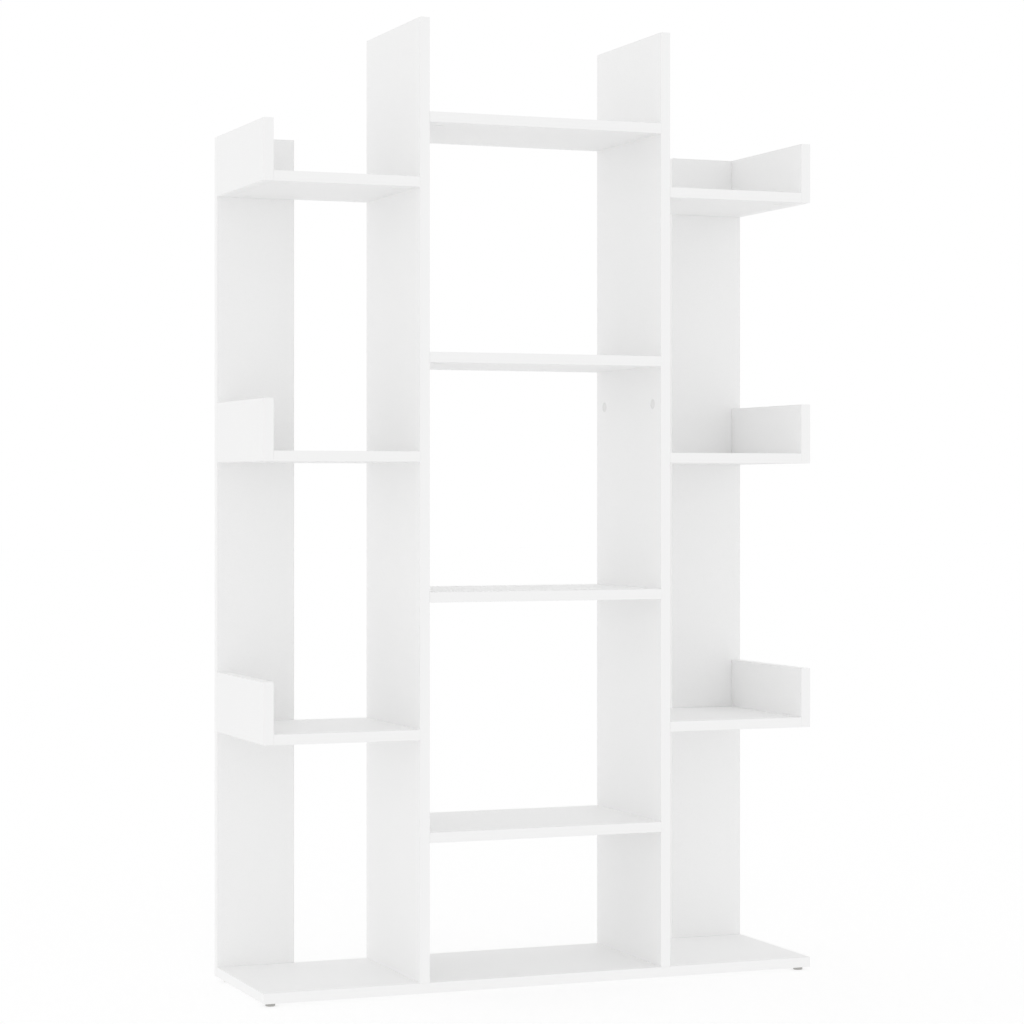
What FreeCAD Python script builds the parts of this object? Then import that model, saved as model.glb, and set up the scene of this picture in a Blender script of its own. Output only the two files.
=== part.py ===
import FreeCAD, Part
import os

import Sketcher
from FreeCAD import Placement, Rotation, Vector

# Open bookcase of white 15 mm boards. A centre column of two uprights and four shelves stands on one
# wide base board. Each side carries a wing of three trays, a shelf with a short end panel, and one
# narrow back strip behind the trays. The boards are flat-packed: cam fittings and dowels in the shelf
# ends, screws from under the base and from behind the back strips.
# Frame: +Z up, front towards -Y, origin on the floor under the middle of the case.

# Driving dimensions in millimetres: name, value, what it measures
SIZES = (
    ("board", 15, "thickness of every board"),
    ("board_depth", 240, "depth of the base, uprights, shelves and end panels"),
    ("centre_clear", 364, "clear width between the uprights"),
    ("wing_clear", 218, "length of a wing shelf"),
    ("low_gap", 200, "clear height of the lowest centre bay"),
    ("centre_gap", 330, "clear height of the other centre bays"),
    ("upright_rise", 135, "uprights above the top centre shelf"),
    ("wing_gap_low", 348, "clear height of the lowest wing bay"),
    ("wing_gap_mid", 384, "clear height of the middle wing bay"),
    ("wing_gap_high", 379, "clear height of the upper wing bay"),
    ("end_rise", 74, "end panel above its shelf"),
    ("back_width", 119, "width of a back strip"),
    ("edge_radius", 0.6, "rounding of the banded board edges"),
    ("play", 0.1, "radial clearance round a fitting"),
    ("end_gap", 0.5, "room left past the tip of a fitting in its bore"),
    ("grip_web", 4.5, "board left behind a bolt or dowel bore"),
    ("bore_web", 2.5, "board left behind a cam or plug bore"),
    ("fitting_inset", 30, "bolt line from the front or rear edge"),
    ("dowel_pitch", 32, "dowel line from the bolt line"),
    ("cam_diameter", 15, "cam and plug bores"),
    ("cam_setback", 24, "cam centre from the shelf end"),
    ("cam_slot_width", 1.6, "driver slot of a cam"),
    ("cam_slot_length", 8, "driver slot of a cam"),
    ("cam_slot_depth", 1.2, "driver slot of a cam"),
    ("cap_thickness", 1.4, "white cap over a cam"),
    ("cap_recess", 0.2, "cap and plug faces below the board face"),
    ("cap_bevel", 0.3, "bevelled rim of a cap or plug"),
    ("plug_length", 7, "cover plug of a spare bore"),
    ("plug_wall", 1.2, "skirt of a cover plug"),
    ("plug_drop", 55, "spare bores below the third centre shelf"),
    ("bolt_bore", 8, "bore in the shelf end for a cam bolt"),
    ("bolt_thread", 6, "thread of a cam bolt"),
    ("bolt_collar", 7.6, "stop collar of a cam bolt"),
    ("bolt_collar_length", 2, "stop collar of a cam bolt"),
    ("bolt_neck", 5, "neck of a cam bolt"),
    ("bolt_head", 7, "head of a cam bolt"),
    ("bolt_head_length", 4, "head of a cam bolt"),
    ("dowel_diameter", 8, "wooden dowel"),
    ("dowel_length", 30, "wooden dowel"),
    ("dowel_bevel", 1, "bevelled dowel end"),
    ("base_screw_inset", 40, "base screw line from the front or rear edge"),
    ("base_screw_length", 50, "screw from the base into an upright"),
    ("base_screw_diameter", 6.4, "screw from the base into an upright"),
    ("base_screw_head", 10, "countersunk head of a base screw"),
    ("base_socket", 4, "hexagon socket across its flats"),
    ("base_socket_depth", 2.5, "hexagon socket"),
    ("screw_tip", 5, "pointed end of a screw"),
    ("back_screw_inset", 26, "screws from the sides of a back strip"),
    ("back_screw_hold", 15, "screw in the rear edge of a shelf"),
    ("back_screw_diameter", 3.5, "screw through a back strip"),
    ("back_screw_head", 7, "countersunk head of a back screw"),
    ("cross_width", 1, "cross recess of a back screw"),
    ("cross_length", 4, "cross recess of a back screw"),
    ("cross_depth", 1.2, "cross recess of a back screw"),
    ("glide_diameter", 14, "plastic glide under a corner"),
    ("glide_height", 5, "plastic glide under a corner"),
    ("glide_bevel", 1, "bevelled lower rim of a glide"),
    ("glide_inset", 14, "glide centre from the edges of the base"),
    ("nail_diameter", 2, "nail moulded into a glide"),
    ("nail_hold", 11, "nail in the base board"),
    ("nail_head", 6, "head of the nail"),
    ("nail_head_length", 1.2, "head of the nail"),
    ("nail_cover", 1.8, "plastic above the head of the nail"),
)

doc = FreeCAD.newDocument("bookcase")
sheet = doc.addObject("Spreadsheet::Sheet", "Sizes")
for row, (alias, value, meaning) in enumerate(SIZES, start=1):
    sheet.set(f"A{row}", meaning)
    sheet.set(f"B{row}", str(value))
    sheet.setAlias(f"B{row}", alias)
doc.recompute()

# Heights above the floor, as expressions over the sheet
BASE_BOTTOM = "Sizes.glide_height"
BASE_TOP = f"({BASE_BOTTOM} + Sizes.board)"
CENTRE_LEVELS = [
    f"({BASE_TOP} + Sizes.low_gap + {number} * (Sizes.board + Sizes.centre_gap))" for number in range(4)
]
UPRIGHT_TOP = f"({CENTRE_LEVELS[-1]} + Sizes.board + Sizes.upright_rise)"
WING_LEVELS = [f"({BASE_TOP} + Sizes.wing_gap_low)"]
for gap in ("wing_gap_mid", "wing_gap_high"):
    WING_LEVELS.append(f"({WING_LEVELS[-1]} + Sizes.board + Sizes.{gap})")
END_HEIGHT = "(Sizes.board + Sizes.end_rise)"

# Distances from the middle plane and along the depth
INNER_FACE = "(Sizes.centre_clear / 2)"
OUTER_FACE = f"({INNER_FACE} + Sizes.board)"
WING_END = f"({OUTER_FACE} + Sizes.wing_clear)"
HALF_WIDTH = f"({WING_END} + Sizes.board)"
FRONT = "(-(Sizes.board_depth + Sizes.board) / 2)"
REAR = f"({FRONT} + Sizes.board_depth)"
MID_BOARD = "(Sizes.board / 2)"

# Bore depths and the lines that the fittings follow
GRIP_BORE = "(Sizes.board - Sizes.grip_web)"
GRIP = f"({GRIP_BORE} - Sizes.end_gap)"
CAM_BORE_DEPTH = "(Sizes.board - Sizes.bore_web)"
CAM_FLOOR = "(Sizes.cap_recess + Sizes.cap_thickness)"
BOLT_LINES = ("Sizes.fitting_inset", "(Sizes.board_depth - Sizes.fitting_inset)")
DOWEL_INSET = "(Sizes.fitting_inset + Sizes.dowel_pitch)"
DOWEL_LINES = (DOWEL_INSET, f"(Sizes.board_depth - {DOWEL_INSET})")
DOWEL_BORE = "(Sizes.dowel_diameter + 2 * Sizes.play)"
DOWEL_SHELF_BORE = f"(Sizes.dowel_length - {GRIP} + Sizes.end_gap)"
BASE_SCREW_LINES = ("Sizes.base_screw_inset", "(Sizes.board_depth - Sizes.base_screw_inset)")
BASE_DOWEL_INSET = "(Sizes.base_screw_inset + Sizes.dowel_pitch)"
BASE_DOWEL_LINES = (BASE_DOWEL_INSET, f"(Sizes.board_depth - {BASE_DOWEL_INSET})")
UPRIGHT_MIDDLE = f"({INNER_FACE} + {MID_BOARD})"
BACK_SCREW_LINES = ("Sizes.back_screw_inset", "(Sizes.back_width - Sizes.back_screw_inset)")
BACK_SCREW_BORE = "(Sizes.back_screw_diameter + 2 * Sizes.play)"
COUNTERSINK_ANGLE = 90

nodes = []


def place(item, corner):
    """Bind the place of an object to three expressions."""
    for axis, text in zip("xyz", corner):
        item.setExpression(f"Placement.Base.{axis}", text)


def sketch_on(body, name, role, offset=None):
    """An empty sketch on one of the body's own origin planes, moved along the plane's normal."""
    sketch = body.newObject("Sketcher::SketchObject", name)
    plane = next(item for item in body.Origin.OriginFeatures if item.Role == role)
    sketch.AttachmentSupport = (plane, [""])
    sketch.MapMode = "FlatFace"
    if offset:
        sketch.setExpression("AttachmentOffset.Base.z", offset)
    return sketch


def dimension(sketch, kind, geometry, text):
    """A sketch dimension bound to an expression."""
    index = sketch.addConstraint(Sketcher.Constraint(kind, *geometry, 1.0))
    sketch.setExpression(f"Constraints[{index}]", text)


def polygon(sketch, corners):
    """A closed outline whose corners are pairs of expressions; None puts a corner on that axis."""
    starts = [Vector(1 + 0.1 * number, 1 + 0.2 * number, 0) for number in range(len(corners))]
    for start, end in zip(starts, starts[1:] + starts[:1]):
        sketch.addGeometry(Part.LineSegment(start, end))
    for line, (across, along) in enumerate(corners):
        sketch.addConstraint(Sketcher.Constraint("Coincident", line, 2, (line + 1) % len(corners), 1))
        for kind, axis, text in (("DistanceX", -2, across), ("DistanceY", -1, along)):
            if text is None:
                sketch.addConstraint(Sketcher.Constraint("PointOnObject", line, 1, axis))
            else:
                dimension(sketch, kind, (-1, 1, line, 1), text)


# The faces of a board: the plane of a sketch there, its offset as an extent, and whether a cut that
# goes into the board runs along the plane's normal
FACES = {
    "left": ("YZ_Plane", None, True),
    "right": ("YZ_Plane", "{x}", False),
    "bottom": ("XY_Plane", None, True),
    "top": ("XY_Plane", "{z}", False),
    "rear": ("XZ_Plane", "-{y}", True),
}
extents = {}
cuts = []


def board(name, extent, corner, butted=()):
    """A rectangular board with rounded edges, sharp round the faces that butt against another board."""
    body = doc.addObject("PartDesign::Body", name)
    body.Label = name
    extents[name] = dict(zip("xyz", extent))
    across, along, rise = extent
    outline = sketch_on(body, f"{name}_outline", "XY_Plane")
    polygon(outline, ((None, None), (across, None), (across, along), (None, along)))
    blank = body.newObject("PartDesign::Pad", f"{name}_blank")
    blank.Profile = outline
    blank.setExpression("Length", rise)
    blank.recompute(True)
    box = blank.Shape.BoundBox
    sharp = {"left": ("x", box.XMin), "right": ("x", box.XMax), "bottom": ("z", box.ZMin)}
    rounded = []
    for number, edge in enumerate(blank.Shape.Edges, start=1):
        middle = edge.CenterOfMass
        at_joint = [getattr(middle, sharp[face][0]) - sharp[face][1] for face in butted]
        if all(abs(distance) > edge.Tolerance for distance in at_joint):
            rounded.append(f"Edge{number}")
    eased = body.newObject("PartDesign::Fillet", f"{name}_edges")
    eased.Base = (blank, rounded)
    eased.setExpression("Radius", "Sizes.edge_radius")
    place(body, corner)
    nodes.append(body)
    return body


def bore_marks(body, name, face, spots, diameter):
    """A sketch on a face of a board, with a circle at each spot measured from the board's corner."""
    role, offset, _ = FACES[face]
    sketch = sketch_on(body, name, role, offset and offset.format(**extents[body.Name]))
    for number, (across, along) in enumerate(spots, start=1):
        circle = sketch.addGeometry(Part.Circle(Vector(number, number, 0), Vector(0, 0, 1), 1))
        dimension(sketch, "DistanceX", (-1, 1, circle, 3), across)
        dimension(sketch, "DistanceY", (-1, 1, circle, 3), along)
        dimension(sketch, "Diameter", (circle,), diameter)
    return sketch


def drill(body, kind, face, spots, diameter, depth):
    """Blind bores of one size into a face of a board."""
    name = f"{body.Name}_{face}_{kind}"
    pocket = body.newObject("PartDesign::Pocket", name)
    pocket.Profile = bore_marks(body, f"{name}_marks", face, spots, diameter)
    pocket.Reversed = FACES[face][2]
    pocket.setExpression("Length", depth)
    cuts.append((pocket, pocket.BaseFeature))


def countersink(body, kind, face, spots, diameter, head):
    """Through holes with a countersunk mouth in a face of a board."""
    name = f"{body.Name}_{face}_{kind}"
    marks = bore_marks(body, f"{name}_marks", face, spots, diameter)
    body.recompute(True)
    hole = body.newObject("PartDesign::Hole", name)
    hole.Profile = marks
    hole.Reversed = FACES[face][2]
    hole.DepthType = "ThroughAll"
    hole.HoleCutType = "Countersink"
    hole.HoleCutCustomValues = True
    hole.HoleCutCountersinkAngle = COUNTERSINK_ANGLE
    hole.setExpression("Diameter", diameter)
    hole.setExpression("HoleCutDiameter", head)
    cuts.append((hole, hole.BaseFeature))


def fitting_bores(body, face, heights):
    """Bores for the bolts and dowels of shelf ends that meet a face at the given heights."""
    bolts = [(line, height) for height in heights for line in BOLT_LINES]
    dowels = [(line, height) for height in heights for line in DOWEL_LINES]
    drill(body, "bolts", face, bolts, "Sizes.bolt_thread + 2 * Sizes.play", GRIP_BORE)
    drill(body, "dowels", face, dowels, DOWEL_BORE, GRIP_BORE)


def shelf(name, length, corner):
    """A shelf with cam, bolt and dowel bores at both ends."""
    body = board(name, (length, "Sizes.board_depth", "Sizes.board"), corner, ("left", "right"))
    setbacks = ("Sizes.cam_setback", f"({length} - Sizes.cam_setback)")
    cams = [(setback, line) for setback in setbacks for line in BOLT_LINES]
    drill(body, "cams", "bottom", cams, "Sizes.cam_diameter", CAM_BORE_DEPTH)
    for face in ("left", "right"):
        bolts = [(line, MID_BOARD) for line in BOLT_LINES]
        dowels = [(line, MID_BOARD) for line in DOWEL_LINES]
        drill(body, "bolts", face, bolts, "Sizes.bolt_bore", "Sizes.cam_setback")
        drill(body, "dowels", face, dowels, DOWEL_BORE, DOWEL_SHELF_BORE)
    return body


# Base board
base_size = (f"(2 * {HALF_WIDTH})", "Sizes.board_depth", "Sizes.board")
base = board("base_board", base_size, (f"-{HALF_WIDTH}", FRONT, BASE_BOTTOM))
upright_lines = [f"({HALF_WIDTH} + {sign} * {UPRIGHT_MIDDLE})" for sign in (-1, 1)]
base_screw_spots = [(across, line) for across in upright_lines for line in BASE_SCREW_LINES]
base_dowel_spots = [(across, line) for across in upright_lines for line in BASE_DOWEL_LINES]
glide_lines = ("Sizes.glide_inset", f"(2 * {HALF_WIDTH} - Sizes.glide_inset)")
glide_rows = ("Sizes.glide_inset", "(Sizes.board_depth - Sizes.glide_inset)")
nail_spots = [(across, row) for across in glide_lines for row in glide_rows]
back_lines = BACK_SCREW_LINES + tuple(f"(2 * {HALF_WIDTH} - {line})" for line in BACK_SCREW_LINES)
BASE_SCREW_BORE = "(Sizes.base_screw_diameter + 2 * Sizes.play)"
BASE_SCREW_MOUTH = "(Sizes.base_screw_head + 2 * Sizes.play)"
NAIL_BORE = "(Sizes.nail_diameter + 2 * Sizes.play)"
countersink(base, "screws", "bottom", base_screw_spots, BASE_SCREW_BORE, BASE_SCREW_MOUTH)
drill(base, "dowels", "top", base_dowel_spots, DOWEL_BORE, GRIP_BORE)
drill(base, "nails", "bottom", nail_spots, NAIL_BORE, "Sizes.nail_hold + Sizes.end_gap")
drill(base, "screws", "rear", [(line, MID_BOARD) for line in back_lines], BACK_SCREW_BORE,
      "Sizes.back_screw_hold + Sizes.end_gap")

# Uprights of the centre column, with the bores of a spare shelf position closed by plugs
upright_size = ("Sizes.board", "Sizes.board_depth", f"({UPRIGHT_TOP} - {BASE_TOP})")
centre_heights = [f"({level} - {BASE_TOP} + {MID_BOARD})" for level in CENTRE_LEVELS]
wing_heights = [f"({level} - {BASE_TOP} + {MID_BOARD})" for level in WING_LEVELS]
PLUG_HEIGHT = f"({CENTRE_LEVELS[2]} - Sizes.plug_drop)"
plug_spots = [(line, f"({PLUG_HEIGHT} - {BASE_TOP})") for line in BOLT_LINES]
for side, left_end, inner, outer in (
    ("left", f"-{OUTER_FACE}", "right", "left"),
    ("right", INNER_FACE, "left", "right"),
):
    upright = board(f"{side}_upright", upright_size, (left_end, FRONT, BASE_TOP), ("bottom",))
    screws = [(MID_BOARD, line) for line in BASE_SCREW_LINES]
    dowels = [(MID_BOARD, line) for line in BASE_DOWEL_LINES]
    drill(upright, "screws", "bottom", screws, BASE_SCREW_BORE,
          "Sizes.base_screw_length - Sizes.board + Sizes.end_gap")
    drill(upright, "dowels", "bottom", dowels, DOWEL_BORE, DOWEL_SHELF_BORE)
    fitting_bores(upright, inner, centre_heights)
    fitting_bores(upright, outer, wing_heights)
    drill(upright, "plugs", inner, plug_spots, "Sizes.cam_diameter", CAM_BORE_DEPTH)

# Shelves of the centre column
for number, level in enumerate(CENTRE_LEVELS, start=1):
    shelf(f"centre_shelf_{number}", "Sizes.centre_clear", (f"-{INNER_FACE}", FRONT, level))

# Wings: shelves, their end panels, and the back strip with its countersunk screw holes
END_SIZE = ("Sizes.board", "Sizes.board_depth", END_HEIGHT)
STRIP_HEIGHT = f"({WING_LEVELS[-1]} + {END_HEIGHT} - {BASE_BOTTOM})"
strip_heights = [f"({level} - {BASE_BOTTOM} + {MID_BOARD})" for level in [BASE_BOTTOM] + WING_LEVELS]
strip_spots = [(line, height) for height in strip_heights for line in BACK_SCREW_LINES]
BACK_SCREW_MOUTH = "(Sizes.back_screw_head + 2 * Sizes.play)"
for side, shelf_end, panel_end, strip_end, panel_face in (
    ("left", f"-{WING_END}", f"-{HALF_WIDTH}", f"-{HALF_WIDTH}", "right"),
    ("right", OUTER_FACE, WING_END, f"({HALF_WIDTH} - Sizes.back_width)", "left"),
):
    screw_spots = [(f"({strip_end} + {line} - {shelf_end})", MID_BOARD) for line in BACK_SCREW_LINES]
    for number, level in enumerate(WING_LEVELS, start=1):
        tray = shelf(f"{side}_shelf_{number}", "Sizes.wing_clear", (shelf_end, FRONT, level))
        drill(tray, "screws", "rear", screw_spots, BACK_SCREW_BORE, "Sizes.back_screw_hold + Sizes.end_gap")
        panel = board(f"{side}_end_{number}", END_SIZE, (panel_end, FRONT, level))
        fitting_bores(panel, panel_face, [MID_BOARD])
    strip_size = ("Sizes.back_width", "Sizes.board", STRIP_HEIGHT)
    strip = board(f"{side}_back_strip", strip_size, (strip_end, REAR, BASE_BOTTOM))
    countersink(strip, "screws", "rear", strip_spots, BACK_SCREW_BORE, BACK_SCREW_MOUTH)


def turned(name, corners):
    """A round piece on the Z axis, from half its outline as (radius, height) expressions."""
    body = doc.addObject("PartDesign::Body", name)
    body.Label = name
    profile = sketch_on(body, f"{name}_profile", "XZ_Plane")
    polygon(profile, corners)
    spun = body.newObject("PartDesign::Revolution", f"{name}_turned")
    spun.Profile = profile
    spun.ReferenceAxis = (profile, ["V_Axis"])
    spun.Angle = 360
    return body


def bar(name, length, width, height, bottom):
    """A rectangular bar centred on the Z axis, as a cutting tool."""
    tool = doc.addObject("Part::Box", name)
    tool.setExpression("Length", length)
    tool.setExpression("Width", width)
    tool.setExpression("Height", height)
    place(tool, (f"-{length} / 2", f"-{width} / 2", bottom))
    return tool


def cut_away(name, blank, tools):
    """A piece with the tools cut out of it, one after the other."""
    piece = blank
    for tool in tools:
        trimmed = doc.addObject("Part::Cut", name)
        trimmed.Base = piece
        trimmed.Tool = tool
        cuts.append((trimmed, piece))
        piece = trimmed
    return piece


def copy_of(piece, name, corner, turn=Rotation()):
    """A placed copy of a piece."""
    link = doc.addObject("App::Link", name)
    link.LinkedObject = piece
    link.Placement = Placement(Vector(), turn)
    place(link, corner)
    return link


def group(name, members):
    """Like pieces gathered into one object of separate solids."""
    gathered = doc.addObject("Part::Compound", name)
    gathered.Label = name
    gathered.Links = members
    return gathered


# Patterns for the fittings, each standing on the Z axis

# Cam bolt: thread in the upright, collar against its face, neck, and the head that the cam grips
COLLAR_TOP = f"({GRIP} + Sizes.bolt_collar_length)"
HEAD_BOTTOM = f"({GRIP} + Sizes.cam_setback - Sizes.bolt_head_length / 2)"
HEAD_TOP = f"({HEAD_BOTTOM} + Sizes.bolt_head_length)"
cam_bolt = turned("cam_bolt", (
    (None, None),
    ("Sizes.bolt_thread / 2", None),
    ("Sizes.bolt_thread / 2", GRIP),
    ("Sizes.bolt_collar / 2", GRIP),
    ("Sizes.bolt_collar / 2", COLLAR_TOP),
    ("Sizes.bolt_neck / 2", COLLAR_TOP),
    ("Sizes.bolt_neck / 2", HEAD_BOTTOM),
    ("Sizes.bolt_head / 2", HEAD_BOTTOM),
    ("Sizes.bolt_head / 2", HEAD_TOP),
    (None, HEAD_TOP),
))

# Cam: a disc with a side pocket that takes the bolt head, and a crossed driver slot underneath
CAM_RADIUS = "(Sizes.cam_diameter / 2 - Sizes.play)"
CAM_HEIGHT = f"({CAM_BORE_DEPTH} - Sizes.play - {CAM_FLOOR})"
cam_blank = turned("cam_blank", (
    (None, None),
    (CAM_RADIUS, None),
    (CAM_RADIUS, CAM_HEIGHT),
    (None, CAM_HEIGHT),
))
head_pocket = doc.addObject("Part::Cylinder", "cam_head_pocket")
HEAD_REACH = "(Sizes.bolt_head_length / 2 + 2 * Sizes.play)"
head_pocket.setExpression("Radius", "Sizes.bolt_head / 2 + 2 * Sizes.play")
head_pocket.setExpression("Height", f"Sizes.cam_diameter / 2 + {HEAD_REACH}")
head_pocket.Placement = Placement(Vector(), Rotation(Vector(0, 1, 0), -90))
place(head_pocket, (HEAD_REACH, "0", f"{MID_BOARD} - {CAM_FLOOR}"))
slot_tools = [
    bar("cam_slot_across", "Sizes.cam_slot_length", "Sizes.cam_slot_width", "Sizes.cam_slot_depth", "0"),
    bar("cam_slot_along", "Sizes.cam_slot_width", "Sizes.cam_slot_length", "Sizes.cam_slot_depth", "0"),
]
cam = cut_away("cam", cam_blank, [head_pocket] + slot_tools)

# Cap over a cam: a thin disc with a bevelled rim
cam_cap = turned("cam_cap", (
    (None, None),
    (f"{CAM_RADIUS} - Sizes.cap_bevel", None),
    (CAM_RADIUS, "Sizes.cap_bevel"),
    (CAM_RADIUS, "Sizes.cap_thickness"),
    (None, "Sizes.cap_thickness"),
))

# Cover plug of a spare bore: the same face on a hollow skirt
SKIRT_INSIDE = f"({CAM_RADIUS} - Sizes.plug_wall)"
plug = turned("plug", (
    (None, None),
    (f"{CAM_RADIUS} - Sizes.cap_bevel", None),
    (CAM_RADIUS, "Sizes.cap_bevel"),
    (CAM_RADIUS, "Sizes.plug_length"),
    (SKIRT_INSIDE, "Sizes.plug_length"),
    (SKIRT_INSIDE, "Sizes.cap_thickness"),
    (None, "Sizes.cap_thickness"),
))

# Wooden dowel with bevelled ends
DOWEL_TIP = "(Sizes.dowel_diameter / 2 - Sizes.dowel_bevel)"
dowel = turned("dowel", (
    (None, None),
    (DOWEL_TIP, None),
    ("Sizes.dowel_diameter / 2", "Sizes.dowel_bevel"),
    ("Sizes.dowel_diameter / 2", "Sizes.dowel_length - Sizes.dowel_bevel"),
    (DOWEL_TIP, "Sizes.dowel_length"),
    (None, "Sizes.dowel_length"),
))


def screw_outline(diameter, head, length):
    """Half outline of a countersunk screw, head down, with a right-angled cone under the head."""
    cone = f"(({head} - {diameter}) / 2)"
    return (
        (None, None),
        (f"{head} / 2", None),
        (f"{diameter} / 2", cone),
        (f"{diameter} / 2", f"{length} - Sizes.screw_tip"),
        (None, length),
    )


# Base screw with a hexagon socket
base_screw_blank = turned("base_screw_blank", screw_outline(
    "Sizes.base_screw_diameter", "Sizes.base_screw_head", "Sizes.base_screw_length"))
socket = doc.addObject("Part::Prism", "base_screw_socket")
socket.Polygon = 6
socket.setExpression("Circumradius", "Sizes.base_socket / sqrt(3)")
socket.setExpression("Height", "Sizes.base_socket_depth")
base_screw = cut_away("base_screw", base_screw_blank, [socket])

# Back screw with a cross recess
BACK_SCREW_LENGTH = "(Sizes.board + Sizes.back_screw_hold)"
back_screw_blank = turned("back_screw_blank", screw_outline(
    "Sizes.back_screw_diameter", "Sizes.back_screw_head", BACK_SCREW_LENGTH))
cross_tools = [
    bar("cross_across", "Sizes.cross_length", "Sizes.cross_width", "Sizes.cross_depth", "0"),
    bar("cross_along", "Sizes.cross_width", "Sizes.cross_length", "Sizes.cross_depth", "0"),
]
back_screw = cut_away("back_screw", back_screw_blank, cross_tools)

# Nail of a glide, head down
NAIL_LENGTH = "(Sizes.nail_head_length + Sizes.nail_cover + Sizes.nail_hold)"
nail = turned("nail", (
    (None, None),
    ("Sizes.nail_head / 2", None),
    ("Sizes.nail_head / 2", "Sizes.nail_head_length"),
    ("Sizes.nail_diameter / 2", "Sizes.nail_head_length"),
    ("Sizes.nail_diameter / 2", f"{NAIL_LENGTH} - Sizes.nail_diameter"),
    (None, NAIL_LENGTH),
))

# Fittings of one shelf end, from its lower front corner, with the shelf towards +X
ALONG_X = Rotation(Vector(0, 1, 0), 90)
end_fittings = {
    "cam_bolts": (cam_bolt, BOLT_LINES, f"-{GRIP}", MID_BOARD, ALONG_X),
    "cams": (cam, BOLT_LINES, "Sizes.cam_setback", CAM_FLOOR, Rotation()),
    "cam_caps": (cam_cap, BOLT_LINES, "Sizes.cam_setback", "Sizes.cap_recess", Rotation()),
    "dowels": (dowel, DOWEL_LINES, f"-{GRIP}", MID_BOARD, ALONG_X),
}
pairs = {}
for kind, (piece, lines, across, up, turn) in end_fittings.items():
    members = []
    for number, line in enumerate(lines, start=1):
        members.append(copy_of(piece, f"end_{kind}_{number}", (across, line, up), turn))
    pairs[kind] = group(f"end_{kind}", members)

# Every shelf end of the case: where its face is, and which way the shelf goes from there
HALF_TURN = Rotation(Vector(0, 0, 1), 180)
columns = {
    "centre": (CENTRE_LEVELS, f"-{INNER_FACE}", INNER_FACE),
    "left": (WING_LEVELS, f"-{WING_END}", f"-{OUTER_FACE}"),
    "right": (WING_LEVELS, OUTER_FACE, WING_END),
}
for column, (levels, left_face, right_face) in columns.items():
    for kind, pair in pairs.items():
        members = []
        for number, level in enumerate(levels, start=1):
            name = f"{column}_{kind}_{number}"
            members.append(copy_of(pair, f"{name}_left", (left_face, FRONT, level)))
            members.append(copy_of(pair, f"{name}_right", (right_face, REAR, level), HALF_TURN))
        nodes.append(group(f"{column}_{kind}", members))

# Screws and dowels between the base board and the uprights
screws = []
dowels = []
for number, (across, line) in enumerate(base_screw_spots, start=1):
    spot = (f"{across} - {HALF_WIDTH}", f"{FRONT} + {line}", BASE_BOTTOM)
    screws.append(copy_of(base_screw, f"base_screw_{number}", spot))
for number, (across, line) in enumerate(base_dowel_spots, start=1):
    spot = (f"{across} - {HALF_WIDTH}", f"{FRONT} + {line}", f"{BASE_TOP} - {GRIP}")
    dowels.append(copy_of(dowel, f"upright_dowel_{number}", spot))
nodes.append(group("base_screws", screws))
nodes.append(group("upright_dowels", dowels))

# Screws through the back strips, heads to the rear, and plugs in the uprights' centre faces
HEAD_TO_REAR = Rotation(Vector(1, 0, 0), 90)
PLUG_TURNS = {"left": Rotation(Vector(0, 1, 0), -90), "right": ALONG_X}
for side, strip_end, plug_face in (
    ("left", f"-{HALF_WIDTH}", f"-{INNER_FACE} - Sizes.cap_recess"),
    ("right", f"({HALF_WIDTH} - Sizes.back_width)", f"{INNER_FACE} + Sizes.cap_recess"),
):
    screws = []
    for number, (line, height) in enumerate(strip_spots, start=1):
        spot = (f"{strip_end} + {line}", f"{REAR} + Sizes.board", f"{BASE_BOTTOM} + {height}")
        screws.append(copy_of(back_screw, f"{side}_back_screw_{number}", spot, HEAD_TO_REAR))
    nodes.append(group(f"{side}_back_screws", screws))
    plugs = []
    for number, line in enumerate(BOLT_LINES, start=1):
        spot = (plug_face, f"{FRONT} + {line}", PLUG_HEIGHT)
        plugs.append(copy_of(plug, f"{side}_plug_{number}", spot, PLUG_TURNS[side]))
    nodes.append(group(f"{side}_upright_plugs", plugs))

# Glides under the corners, moulded round the heads of their nails
HEAD_CAVITY_TOP = "(Sizes.glide_height - Sizes.nail_cover)"
HEAD_CAVITY_BOTTOM = f"({HEAD_CAVITY_TOP} - Sizes.nail_head_length)"
GLIDE_OUTLINE = (
    (None, None),
    ("Sizes.glide_diameter / 2 - Sizes.glide_bevel", None),
    ("Sizes.glide_diameter / 2", "Sizes.glide_bevel"),
    ("Sizes.glide_diameter / 2", "Sizes.glide_height"),
    (f"{NAIL_BORE} / 2", "Sizes.glide_height"),
    (f"{NAIL_BORE} / 2", HEAD_CAVITY_TOP),
    ("Sizes.nail_head / 2 + Sizes.play", HEAD_CAVITY_TOP),
    ("Sizes.nail_head / 2 + Sizes.play", HEAD_CAVITY_BOTTOM),
    (None, HEAD_CAVITY_BOTTOM),
)
nails = []
for row, line in zip(("front", "rear"), glide_rows):
    for side, across in zip(("left", "right"), glide_lines):
        spot = (f"{across} - {HALF_WIDTH}", f"{FRONT} + {line}")
        glide = turned(f"{row}_{side}_glide", GLIDE_OUTLINE)
        place(glide, spot + ("0",))
        nodes.append(glide)
        nails.append(copy_of(nail, f"{row}_{side}_nail", spot + (HEAD_CAVITY_BOTTOM,)))
nodes.append(group("glide_nails", nails))

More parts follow.
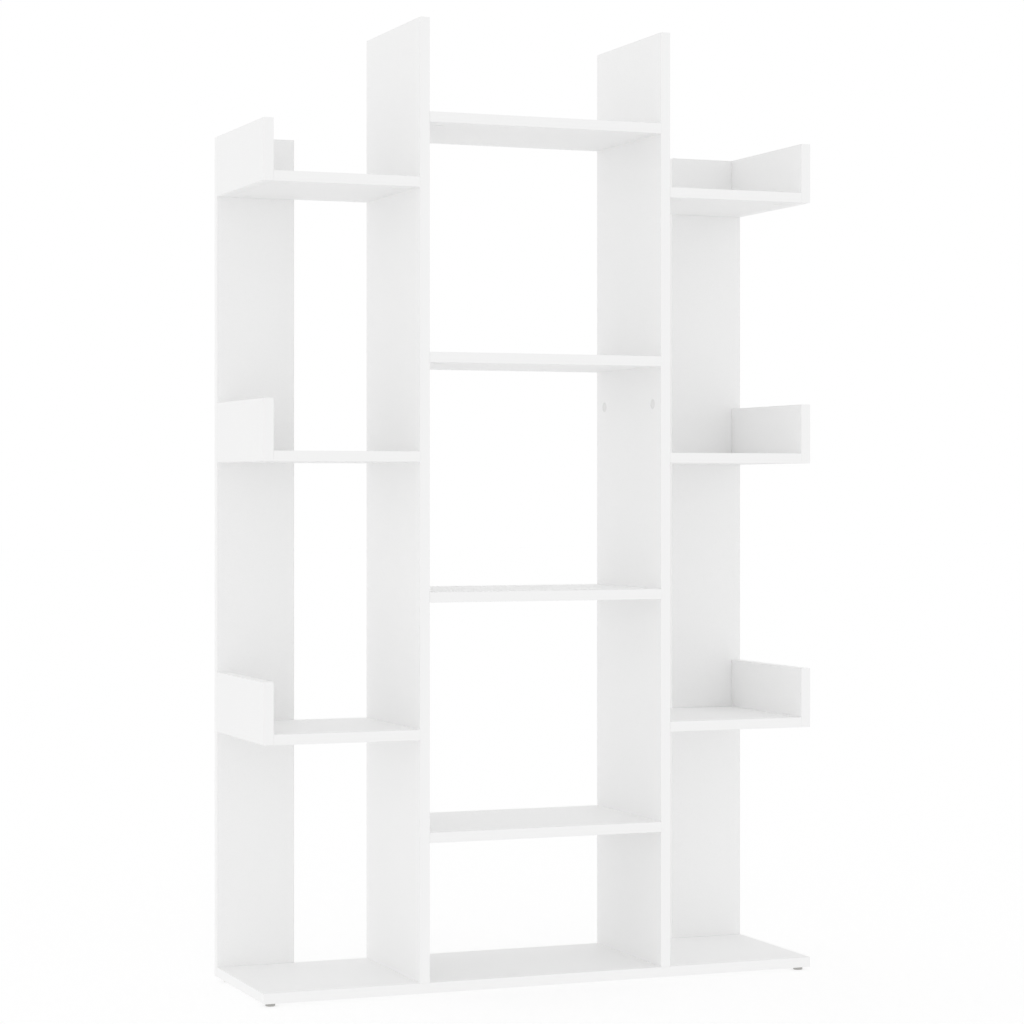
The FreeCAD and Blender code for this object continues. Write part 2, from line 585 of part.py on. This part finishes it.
# Test every object, then write each sub-part
doc.recompute()
for item in doc.Objects:
    if {"Invalid", "Error"} & set(item.State):
        raise RuntimeError(f"{item.Label} failed: {item.State}")
for cut, blank in cuts:
    if cut.Shape.Volume >= blank.Shape.Volume:
        raise RuntimeError(f"{cut.Label} cuts nothing")
for node in nodes:
    if node.Shape.isNull() or not node.Shape.isValid() or not node.Shape.Solids:
        raise RuntimeError(f"{node.Label} has no sound shape")
os.makedirs("parts", exist_ok=True)
for node in nodes:
    node.Shape.exportStep(f"parts/{node.Label}.step")
print(f"{len(nodes)} sub-parts, {sum(len(node.Shape.Solids) for node in nodes)} solids")
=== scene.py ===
import math

import bmesh
import bpy
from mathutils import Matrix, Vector


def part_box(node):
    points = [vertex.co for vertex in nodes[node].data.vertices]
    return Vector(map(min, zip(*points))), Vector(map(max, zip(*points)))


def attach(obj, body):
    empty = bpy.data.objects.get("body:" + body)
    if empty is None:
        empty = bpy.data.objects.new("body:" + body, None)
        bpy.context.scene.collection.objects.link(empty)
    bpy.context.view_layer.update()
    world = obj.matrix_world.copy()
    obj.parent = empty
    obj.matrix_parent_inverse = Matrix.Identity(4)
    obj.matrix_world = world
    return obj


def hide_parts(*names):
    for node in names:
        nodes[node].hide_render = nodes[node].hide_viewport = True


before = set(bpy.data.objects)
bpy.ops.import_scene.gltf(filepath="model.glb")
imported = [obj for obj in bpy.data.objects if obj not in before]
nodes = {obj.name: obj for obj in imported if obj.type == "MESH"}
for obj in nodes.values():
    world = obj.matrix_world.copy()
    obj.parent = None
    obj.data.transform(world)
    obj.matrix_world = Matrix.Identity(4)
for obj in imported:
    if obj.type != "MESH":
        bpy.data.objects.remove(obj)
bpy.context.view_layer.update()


# Base board. One wide sheet of chipboard, faced on both sides with white melamine paper pressed to a
# fine pearl grain. A thin plastic band is glued round its narrow edges and trimmed to a small radius,
# so a hairline of glue shows just inside each edge.
MELAMINE_WHITE = (0.950, 0.950, 0.949, 1.0)
MELAMINE_SHADE = (0.928, 0.928, 0.927, 1.0)
# The pit colour is painted shade: the hollows of the pearl grain are coloured darker where shade would
# fall.
PAINTED_PIT_SHADE = (0.885, 0.885, 0.883, 1.0)
MELAMINE_ROUGHNESS = (0.52, 0.66)
MELAMINE_SPECULAR = 0.35
CLOUDS_PER_METRE = 5.0
CLOUD_DETAIL = 3.0
PEARLS_PER_METRE = 1300.0
PEARL_DETAIL = 2.0
PEARL_DEPTH = 0.00004
PIT_SHADE_START = 0.30
PIT_SHADE_END = 0.45
BAND_WHITE = (0.944, 0.944, 0.943, 1.0)
BAND_ROUGHNESS = (0.38, 0.46)
BAND_THICKNESS = 0.0008
GLUE_GREY = (0.760, 0.755, 0.740, 1.0)
GLUE_HALF_WIDTH = 0.00008
X, Y, Z = 0, 1, 2
MIX_SOCKETS = {"FLOAT": (0, 2, 3, 0), "RGBA": (0, 6, 7, 2)}


def node(tree, kind, inputs=None, **settings):
    """A shader node, with each input set to a plain value or joined to another node's output."""
    made = tree.nodes.new(kind)
    for name, value in settings.items():
        setattr(made, name, value)
    for socket, value in (inputs or {}).items():
        if isinstance(value, bpy.types.NodeSocket):
            tree.links.new(value, made.inputs[socket])
        else:
            made.inputs[socket].default_value = value
    return made


def maths(tree, operation, *values):
    """The output of one math node."""
    return node(tree, "ShaderNodeMath", dict(enumerate(values)), operation=operation).outputs[0]


def blend(tree, share, first, second, kind="RGBA"):
    """The output of a mix of two colours, or of two numbers where kind is FLOAT. A mix node has sockets
    of its own for each kind, listed as those of the share, the two values and the output."""
    share_socket, first_socket, second_socket, output = MIX_SOCKETS[kind]
    inputs = {share_socket: share, first_socket: first, second_socket: second}
    return node(tree, "ShaderNodeMix", inputs, data_type=kind).outputs[output]


def spread(tree, value, low, high, start=0.0, end=1.0):
    """A value from start to end, spread from low to high."""
    inputs = {"Value": value, "From Min": start, "From Max": end, "To Min": low, "To Max": high}
    return node(tree, "ShaderNodeMapRange", inputs).outputs[0]


def place(tree):
    """Coordinates on the piece, in metres."""
    return node(tree, "ShaderNodeTexCoord").outputs["Object"]


def grain(tree, per_metre, detail):
    """Noise of so many grains to the metre."""
    inputs = {"Vector": place(tree), "Scale": per_metre, "Detail": detail}
    return node(tree, "ShaderNodeTexNoise", inputs).outputs[0]


def new_finish(name):
    """A plain material, its tree and its main shader."""
    material = bpy.data.materials.new(name)
    material.use_nodes = True
    tree = material.node_tree
    return material, tree, tree.nodes["Principled BSDF"]


def join(tree, surface, outputs):
    """Join each output to the main shader's socket of that name."""
    for socket, output in outputs.items():
        tree.links.new(output, surface.inputs[socket])


def white_melamine(name, wide_axis, glue_planes):
    """White board: pearl-grained faces square to the wide axis, with painted shade darkening the grain's
    pits, smoother bands on the edges, and glue lines where the planes, each an axis and a place on it,
    cut the faces."""
    material, tree, surface = new_finish(name)
    normal = node(tree, "ShaderNodeNewGeometry").outputs["True Normal"]
    lean = node(tree, "ShaderNodeSeparateXYZ", {0: normal}).outputs[wide_axis]
    facing = maths(tree, "MULTIPLY", lean, lean)
    edge = maths(tree, "SUBTRACT", 1.0, facing)
    axes = node(tree, "ShaderNodeSeparateXYZ", {0: place(tree)}).outputs
    glue = 0.0
    for axis, distance in glue_planes:
        line = maths(tree, "COMPARE", axes[axis], distance, GLUE_HALF_WIDTH)
        glue = maths(tree, "MAXIMUM", glue, line)

    pearl = grain(tree, PEARLS_PER_METRE, PEARL_DETAIL)
    cloud = grain(tree, CLOUDS_PER_METRE, CLOUD_DETAIL)
    # Painted shade: the pits of the pearl grain, where its bump is low, are coloured darker.
    outside_pit_shade = spread(tree, pearl, 0.0, 1.0, PIT_SHADE_START, PIT_SHADE_END)
    paper = blend(tree, cloud, MELAMINE_SHADE, MELAMINE_WHITE)
    face = blend(tree, outside_pit_shade, PAINTED_PIT_SHADE, paper)
    banded = blend(tree, edge, face, BAND_WHITE)
    glue_line = maths(tree, "MULTIPLY", glue, facing)
    matt = spread(tree, pearl, *MELAMINE_ROUGHNESS)
    smooth = spread(tree, pearl, *BAND_ROUGHNESS)
    bump = node(tree, "ShaderNodeBump", {"Height": pearl, "Strength": facing, "Distance": PEARL_DEPTH})
    join(tree, surface, {
        "Base Color": blend(tree, glue_line, banded, GLUE_GREY),
        "Roughness": blend(tree, edge, matt, smooth, kind="FLOAT"),
        "Normal": bump.outputs[0],
    })
    surface.inputs["Specular IOR Level"].default_value = MELAMINE_SPECULAR
    return material


def dress(names, material):
    """Give CAD nodes their finish."""
    for name in names:
        for slot in nodes[name].material_slots:
            slot.material = material


def band_planes(name, *axes):
    """The glue lines inside both ends of a board along each of these axes, the lower end first."""
    low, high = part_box(name)
    planes = []
    for axis in axes:
        planes += [(axis, low[axis] + BAND_THICKNESS), (axis, high[axis] - BAND_THICKNESS)]
    return planes


level_finish = white_melamine("white_level_board", Z, band_planes("base_board", X, Y))
dress(["base_board"], level_finish)


# Glides. Nail-on buttons of grey polyethylene under the corners of the base board, moulded in one shot
# round the heads of steel nails. The foot is flat, with a gate mark in its middle and a groove round it.
GLIDE_GREYS = ((0.40, 0.396, 0.380, 1.0), (0.46, 0.456, 0.440, 1.0))
GLIDE_ROUND = 0.0010
GLIDE_ROUND_STEPS = 6
GLIDE_TAPER = 0.0001
GLIDE_GAP = 0.00002
GATE_MARK = ((0.0, 0.0004), (0.0011, 0.0004), (0.0014, 0.0))
FOOT_GROOVE = ((0.0042, 0.0), (0.0044, 0.0003), (0.0049, 0.0003), (0.0051, 0.0))
PLASTIC_GRAIN = {"roughness": (0.42, 0.56), "per_metre": 2600.0, "detail": 2.0, "depth": 0.00002}
TURNED_STEPS = 64
CREASE_ANGLE = math.radians(40)
RIGHT = Vector((1, 0, 0))
UP = Vector((0, 0, 1))


def grained_finish(name, colours, roughness, per_metre, detail, depth, metallic=0.0):
    """A finish with one even grain: the first colour and roughness in its hollows, the second on its
    tops, which stand up by depth."""
    material, tree, surface = new_finish(name)
    height = grain(tree, per_metre, detail)
    bump = node(tree, "ShaderNodeBump", {"Height": height, "Distance": depth})
    join(tree, surface, {
        "Base Color": blend(tree, height, *colours),
        "Roughness": spread(tree, height, *roughness),
        "Normal": bump.outputs[0],
    })
    surface.inputs["Metallic"].default_value = metallic
    return material


def arc(out, up, radius, start, end, steps):
    """Points of an outline on an arc from start to end, in degrees, round a middle."""
    turns = [math.radians(start + (end - start) * step / steps) for step in range(steps + 1)]
    return [(out + radius * math.cos(turn), up + radius * math.sin(turn)) for turn in turns]


def placed(name, shape):
    """A piece of this shape, put into the scene."""
    mesh = bpy.data.meshes.new(name)
    shape.to_mesh(mesh)
    shape.free()
    piece = bpy.data.objects.new(name, mesh)
    bpy.context.scene.collection.objects.link(piece)
    return piece


def turned_piece(name, outline, spots):
    """One piece with a closed turned solid at each spot. The outline runs from axis to axis, as radius
    and height. A spot is its middle, its axis and one direction across the axis."""
    shape = bmesh.new()
    for middle, axis, across in spots:
        third = axis.cross(across)
        rings = []
        for radius, height in outline:
            ring = []
            for step in range(TURNED_STEPS if radius > 0 else 1):
                turn = math.tau * step / TURNED_STEPS
                outward = math.cos(turn) * across + math.sin(turn) * third
                ring.append(shape.verts.new(middle + height * axis + radius * outward))
            rings.append(ring)
        for lower, upper in zip(rings, rings[1:]):
            for step in range(TURNED_STEPS):
                following = (step + 1) % TURNED_STEPS
                corners = [lower[step % len(lower)], lower[following % len(lower)],
                           upper[following % len(upper)], upper[step % len(upper)]]
                shape.faces.new(list(dict.fromkeys(corners)))
    bmesh.ops.recalc_face_normals(shape, faces=shape.faces)
    piece = placed(name, shape)
    piece.data.shade_smooth()
    piece.data.set_sharp_from_angle(angle=CREASE_ANGLE)
    return piece


def stand_for(piece, node_name, material):
    """A piece that takes the place of a CAD node, in its finish."""
    piece.data.materials.append(material)
    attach(piece, "root")
    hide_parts(node_name)


glide_plastic = grained_finish("grey_glide_plastic", GLIDE_GREYS, **PLASTIC_GRAIN)
for row in ("front", "rear"):
    for side in ("left", "right"):
        glide_name = f"{row}_{side}_glide"
        low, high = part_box(glide_name)
        radius = (high.x - low.x) / 2
        height = high.z - low.z - GLIDE_GAP
        rim = arc(radius - GLIDE_ROUND, GLIDE_ROUND, GLIDE_ROUND, -90, 0, GLIDE_ROUND_STEPS)
        top = ((radius - GLIDE_TAPER, height), (0.0, height))
        middle = Vector(((low.x + high.x) / 2, (low.y + high.y) / 2, low.z))
        outline = (*GATE_MARK, *FOOT_GROOVE, *rim, *top)
        glide = turned_piece(f"{glide_name}_button", outline, [(middle, UP, RIGHT)])
        stand_for(glide, glide_name, glide_plastic)


# Uprights. Two full-height melamine boards of the centre column, banded at the front, the rear and the
# top. They stand on the base board, with dowels and two screws from below.
_, top_plane = band_planes("left_upright", Z)
upright_planes = [*band_planes("left_upright", Y), top_plane]
upright_finish = white_melamine("white_upright_board", X, upright_planes)
dress(["left_upright", "right_upright"], upright_finish)


# Screws and nails. Steel, barrel-plated with bright zinc, so the metal is slightly mottled. The base
# screws are driven up into the uprights, and the nails hold the glides.
ZINC_GREYS = ((0.56, 0.57, 0.60, 1.0), (0.74, 0.75, 0.77, 1.0))
ZINC_MOTTLE = {"roughness": (0.26, 0.44), "per_metre": 600.0, "detail": 4.0, "depth": 0.00001}
fitting_metal = grained_finish("bright_zinc", ZINC_GREYS, **ZINC_MOTTLE, metallic=1.0)
dress(["base_screws", "glide_nails"], fitting_metal)


# Dowels. Plain turned beech pins with bevelled ends, left raw and set in glue. Each one is sunk partly
# in one board and partly in the next, out of sight once the case is together.
BEECH_BROWNS = ((0.45, 0.28, 0.15, 1.0), (0.62, 0.43, 0.26, 1.0))
BEECH_FLECK = {"roughness": (0.60, 0.80), "per_metre": 900.0, "detail": 5.0, "depth": 0.00005}
dowel_wood = grained_finish("raw_beech", BEECH_BROWNS, **BEECH_FLECK)
dress(["upright_dowels"], dowel_wood)


# Cover plugs. Push-in discs of off-white polyethylene that close two spare bores in the inner face of
# each upright. Their faces are slightly crowned and a shade greyer than the board.
PLUG_WHITES = ((0.800, 0.800, 0.795, 1.0), (0.845, 0.845, 0.840, 1.0))
PLUG_CROWN = 0.00012
DISC_RIM = 0.0004
DISC_RIM_STEPS = 4
CROWN_STEPS = 6
BACKWARD = Vector((0, 1, 0))


def crowned_disc(radius, depth, crown):
    """Outline of a disc from its foot up to a crowned face with a rounded rim, face middle at 0."""
    face = radius - DISC_RIM
    outline = [(0.0, -depth), (radius, -depth)]
    outline += arc(face, -crown - DISC_RIM, DISC_RIM, 0, 90, DISC_RIM_STEPS)
    for step in reversed(range(CROWN_STEPS)):
        share = step / CROWN_STEPS
        outline.append((face * share, -crown * share * share))
    return outline


plug_plastic = grained_finish("off_white_plug_plastic", PLUG_WHITES, **PLASTIC_GRAIN)
for side, outward in (("left", RIGHT), ("right", -RIGHT)):
    plug_name = f"{side}_upright_plugs"
    low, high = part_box(plug_name)
    radius = (high.z - low.z) / 2
    face = high.x if outward.x > 0 else low.x
    level = (low.z + high.z) / 2
    spots = [(Vector((face, y, level)), outward, BACKWARD) for y in (low.y + radius, high.y - radius)]
    outline = crowned_disc(radius, high.x - low.x, PLUG_CROWN)
    plugs = turned_piece(f"{side}_upright_plug_pair", outline, spots)
    stand_for(plugs, plug_name, plug_plastic)


# Centre shelves. Four melamine boards between the uprights, banded at the front and the rear. Cams in
# their undersides draw them tight on bolts in the uprights, beside two dowels at each end.
CENTRE_SHELVES = 4


def numbered(name, count):
    """The names of so many like boards, from the lowest up."""
    return [f"{name}_{number}" for number in range(1, count + 1)]


dress(numbered("centre_shelf", CENTRE_SHELVES), level_finish)


# Wings. Three melamine shelves on each side, at heights between those of the centre column, each with a
# short end panel that keeps books in. Cams and dowels hold both ends of a wing shelf.
WING_SHELVES = 3
end_planes = band_planes("left_end_1", Y)
for end_name in numbered("left_end", WING_SHELVES):
    end_planes += band_planes(end_name, Z)
end_finish = white_melamine("white_end_board", X, end_planes)
for side in ("left", "right"):
    dress(numbered(f"{side}_shelf", WING_SHELVES), level_finish)
    dress(numbered(f"{side}_end", WING_SHELVES), end_finish)


# Cam fittings. Die-cast zinc cams and plated steel bolts at every shelf end, with raw dowels beside
# them. Each cam is closed from below by a crowned cap of plastic in the white of the boards.
CAP_WHITES = ((0.915, 0.915, 0.912, 1.0), (0.940, 0.940, 0.938, 1.0))
CAP_CROWN = 0.00008
CAM_FROM_END = 0.024
CAM_FROM_EDGE = 0.030
cap_plastic = grained_finish("white_cap_plastic", CAP_WHITES, **PLASTIC_GRAIN)
for column, count in (("centre", CENTRE_SHELVES), ("left", WING_SHELVES), ("right", WING_SHELVES)):
    dress([f"{column}_cam_bolts", f"{column}_cams"], fitting_metal)
    dress([f"{column}_dowels"], dowel_wood)
    cap_name = f"{column}_cam_caps"
    cap_low, cap_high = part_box(cap_name)
    shelves = [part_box(name) for name in numbered(f"{column}_shelf", count)]
    lowest, highest = shelves[0][0], shelves[-1][0]
    radius = lowest.y + CAM_FROM_EDGE - cap_low.y
    recess = cap_low.z - lowest.z
    thickness = cap_high.z - highest.z - recess
    spots = []
    for low, high in shelves:
        for x in (low.x + CAM_FROM_END, high.x - CAM_FROM_END):
            for y in (low.y + CAM_FROM_EDGE, high.y - CAM_FROM_EDGE):
                spots.append((Vector((x, y, low.z + recess)), -UP, RIGHT))
    outline = crowned_disc(radius, thickness, CAP_CROWN)
    caps = turned_piece(f"{column}_cam_cap_discs", outline, spots)
    stand_for(caps, cap_name, cap_plastic)


# Back strips. Two narrow melamine boards, banded all round, that run up the outer rear corners. Plated
# screws from behind hold each one to the rear edges of the base and the wing shelves.
strip_planes = band_planes("left_back_strip", X, Z) + band_planes("right_back_strip", X)
strip_finish = white_melamine("white_back_board", Y, strip_planes)
dress(["left_back_strip", "right_back_strip"], strip_finish)
dress(["left_back_screws", "right_back_screws"], fitting_metal)


# Studio. A photographer's light table: a plain white floor that keeps the case's soft shadow and lets
# light through from below, in a white tent that is brightest round its sides, most of all on the left.
FLOOR_HALF = 30.0
FLOOR_WHITE = (1.0, 1.0, 1.0, 1.0)
FLOOR_ROUGHNESS = 1.0
FLOOR_SPECULAR = 0.0
FLOOR_GLOW = 0.45
FLOOR_SEEN = 1.123
SKY_WHITE = (1.0, 1.0, 1.0, 1.0)
SKY_LIGHT = 0.988
SKY_SIDE = -0.030
SKY_CROWN = -0.18
SKY_SEEN = 1.0


def seen_directly(tree):
    """1 where the camera sees a surface itself, in a reflection or through glass, and 0 for its light."""
    path = node(tree, "ShaderNodeLightPath").outputs
    mirrored = maths(tree, "MAXIMUM", path["Is Glossy Ray"], path["Is Transmission Ray"])
    return maths(tree, "MAXIMUM", path["Is Camera Ray"], mirrored)


floor_shape = bmesh.new()
bmesh.ops.create_grid(floor_shape, x_segments=1, y_segments=1, size=FLOOR_HALF)
floor = placed("studio_floor", floor_shape)
floor.visible_diffuse = False
floor.visible_shadow = False
floor_paint, tree, surface = new_finish("white_floor_paint")
surface.inputs["Base Color"].default_value = FLOOR_WHITE
surface.inputs["Roughness"].default_value = FLOOR_ROUGHNESS
surface.inputs["Specular IOR Level"].default_value = FLOOR_SPECULAR
glow = node(tree, "ShaderNodeEmission", {"Color": FLOOR_WHITE, "Strength": FLOOR_SEEN})
glow_share = maths(tree, "MULTIPLY", seen_directly(tree), FLOOR_GLOW)
layers = {0: glow_share, 1: surface.outputs[0], 2: glow.outputs[0]}
glowing_paint = node(tree, "ShaderNodeMixShader", layers).outputs[0]
tree.links.new(glowing_paint, tree.nodes["Material Output"].inputs["Surface"])
floor.data.materials.append(floor_paint)

world = bpy.data.worlds.new("white_sky")
world.use_nodes = True
tree = world.node_tree
sky = tree.nodes["Background"]
sky.inputs["Color"].default_value = SKY_WHITE
direction = node(tree, "ShaderNodeTexCoord").outputs["Generated"]
across, _, up = node(tree, "ShaderNodeSeparateXYZ", {0: direction}).outputs
side_light = maths(tree, "MULTIPLY_ADD", across, SKY_SIDE, SKY_LIGHT)
crown = maths(tree, "MULTIPLY", up, up)
tent_light = maths(tree, "MULTIPLY_ADD", crown, SKY_CROWN, side_light)
sky_strength = blend(tree, seen_directly(tree), tent_light, SKY_SEEN, kind="FLOAT")
tree.links.new(sky_strength, sky.inputs["Strength"])
bpy.context.scene.world = world


# Camera. That of the photograph: level, at table height, to the left of the case, with the horizon a
# little above the middle of the picture.
CAMERA_PLACE = (-1.5659, -3.9491, 0.7254)
CAMERA_YAW = -0.3764
CAMERA_FOCAL_PIXELS = 2832.7
PICTURE_PIXELS = 1024
HORIZON_ROW = 490.85
SENSOR_WIDTH = 36.0
camera_data = bpy.data.cameras.new("photo_camera")
camera_data.sensor_width = SENSOR_WIDTH
camera_data.lens = CAMERA_FOCAL_PIXELS / PICTURE_PIXELS * SENSOR_WIDTH
camera_data.shift_y = (HORIZON_ROW - PICTURE_PIXELS / 2) / PICTURE_PIXELS
camera = bpy.data.objects.new("photo_camera", camera_data)
camera.location = CAMERA_PLACE
camera.rotation_euler = (math.pi / 2, 0, CAMERA_YAW)
bpy.context.scene.collection.objects.link(camera)
bpy.context.scene.camera = camera
bpy.context.scene.view_settings.view_transform = "Standard"
